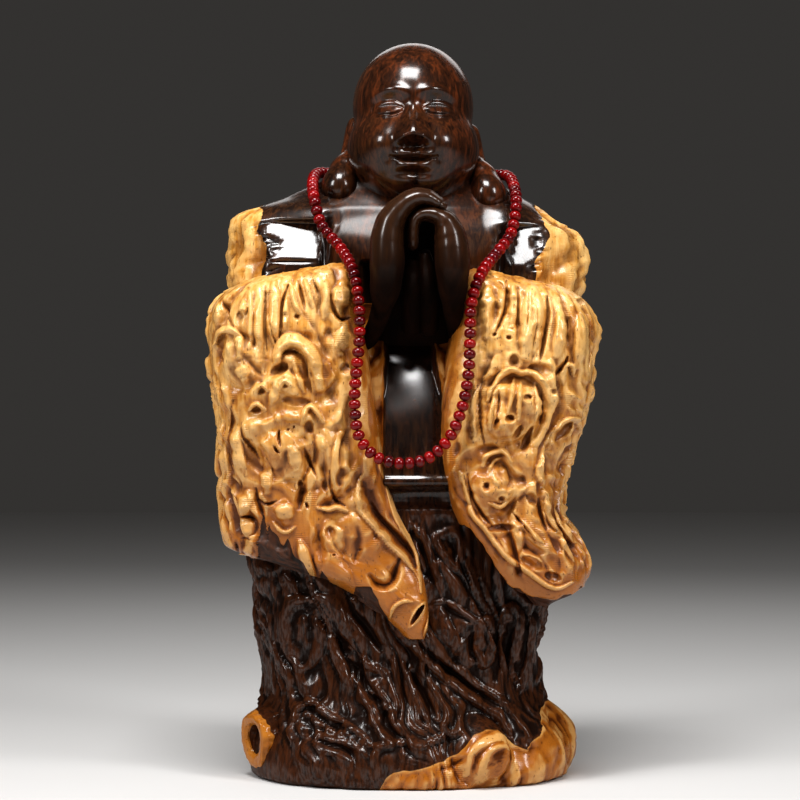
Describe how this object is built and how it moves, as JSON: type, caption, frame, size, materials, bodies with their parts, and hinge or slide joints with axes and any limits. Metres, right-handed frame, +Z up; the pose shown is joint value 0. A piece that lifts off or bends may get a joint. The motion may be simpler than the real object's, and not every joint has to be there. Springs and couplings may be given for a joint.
{
  "type": "budai figure",
  "caption": "Standing budai figure carved from a root log, hands joined, with gnarled sapwood sleeves over a dark heartwood robe and a string of wooden beads round its neck.",
  "frame": {"origin": "on the flat underside, below the log's own axis", "axes": "+Z up to the crown of the head, the figure faces -Y, its left hand is towards +X"},
  "size_m": [0.2663, 0.2104, 0.5],
  "materials": {
    "heartwood": "near-black rosewood heartwood with red-brown figure, polished and lacquered to a gloss",
    "sapwood": "golden sapwood with deep gouged hollows, under a satin lacquer",
    "bead_wood": "crimson red sandalwood beads, polished to a gloss"
  },
  "bodies": {
    "root": {"figure": "heartwood", "bead_necklace": "bead_wood"}
  },
  "joints": []
}
